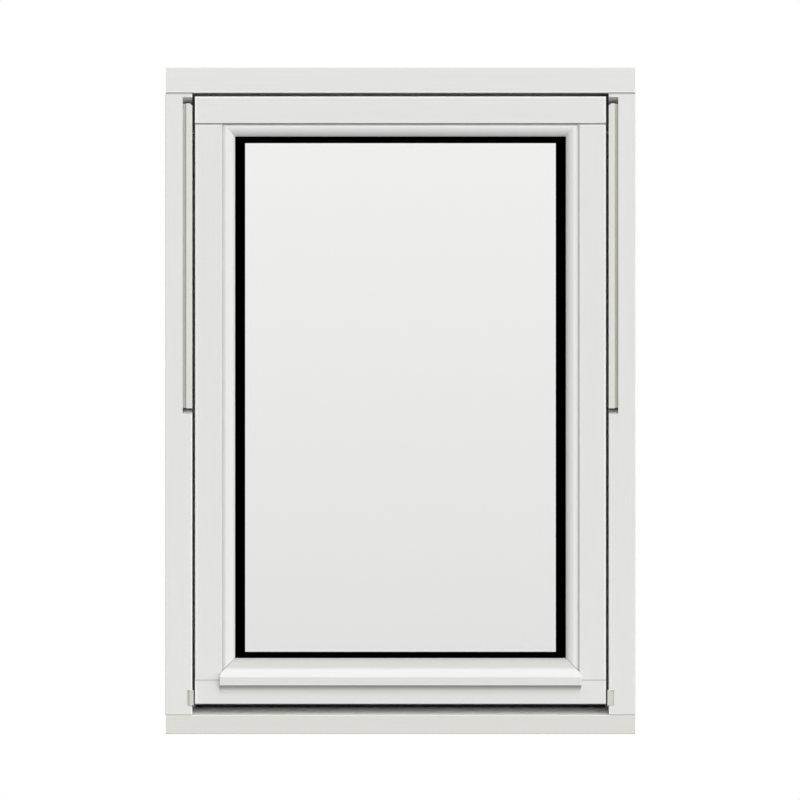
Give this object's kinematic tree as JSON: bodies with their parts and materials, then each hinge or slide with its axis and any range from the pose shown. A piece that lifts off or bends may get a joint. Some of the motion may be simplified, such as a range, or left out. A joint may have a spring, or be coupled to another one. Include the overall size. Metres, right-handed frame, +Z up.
{
  "type": "top swing window",
  "caption": "Painted timber top swing window: rebated frame, outward-opening sash, mitred glazing beads over a drip bead, sealed glass unit, swing arms and room-side handle.",
  "frame": {"origin": "middle of the sill's underside, halfway through the depth of the frame", "axes": "+Z up, -Y to the outside, +Y to the room, +X to the right seen from outside"},
  "size_m": [0.698, 0.121, 0.99],
  "materials": {
    "painted_timber": "opaque white paint, satin, on planed softwood",
    "clear_glass": "clear float glass",
    "spacer_black": "matt black edge spacer",
    "seal_rubber": "black extruded rubber",
    "arm_paint": "pale grey powder coat",
    "track_metal": "mill finish extrusion",
    "pivot_steel": "zinc plated",
    "guide_plastic": "pale grey moulding",
    "handle_metal": "satin anodised"
  },
  "bodies": {
    "root": {"drip_bead": "painted_timber", "frame_head": "painted_timber", "frame_sill": "painted_timber", "left_glazing_bead": "painted_timber", "left_jamb": "painted_timber", "left_stile": "painted_timber", "right_glazing_bead": "painted_timber", "right_jamb": "painted_timber", "right_stile": "painted_timber", "sash_bottom_rail": "painted_timber", "sash_top_rail": "painted_timber", "top_glazing_bead": "painted_timber", "inner_pane": "clear_glass", "outer_pane": "clear_glass", "bottom_spacer": "spacer_black", "left_spacer": "spacer_black", "right_spacer": "spacer_black", "top_spacer": "spacer_black", "bottom_glazing_tape": "seal_rubber", "head_seal": "seal_rubber", "left_glazing_tape": "seal_rubber", "left_seal": "seal_rubber", "right_glazing_tape": "seal_rubber", "right_seal": "seal_rubber", "sill_seal": "seal_rubber", "top_glazing_tape": "seal_rubber", "left_swing_arm": "arm_paint", "right_swing_arm": "arm_paint", "left_hinge_track": "track_metal", "right_hinge_track": "track_metal", "left_hinge_pivots": "pivot_steel", "right_hinge_pivots": "pivot_steel", "left_guide_block": "guide_plastic", "right_guide_block": "guide_plastic", "handle_lever": "handle_metal", "handle_rose": "handle_metal"}
  },
  "joints": []
}
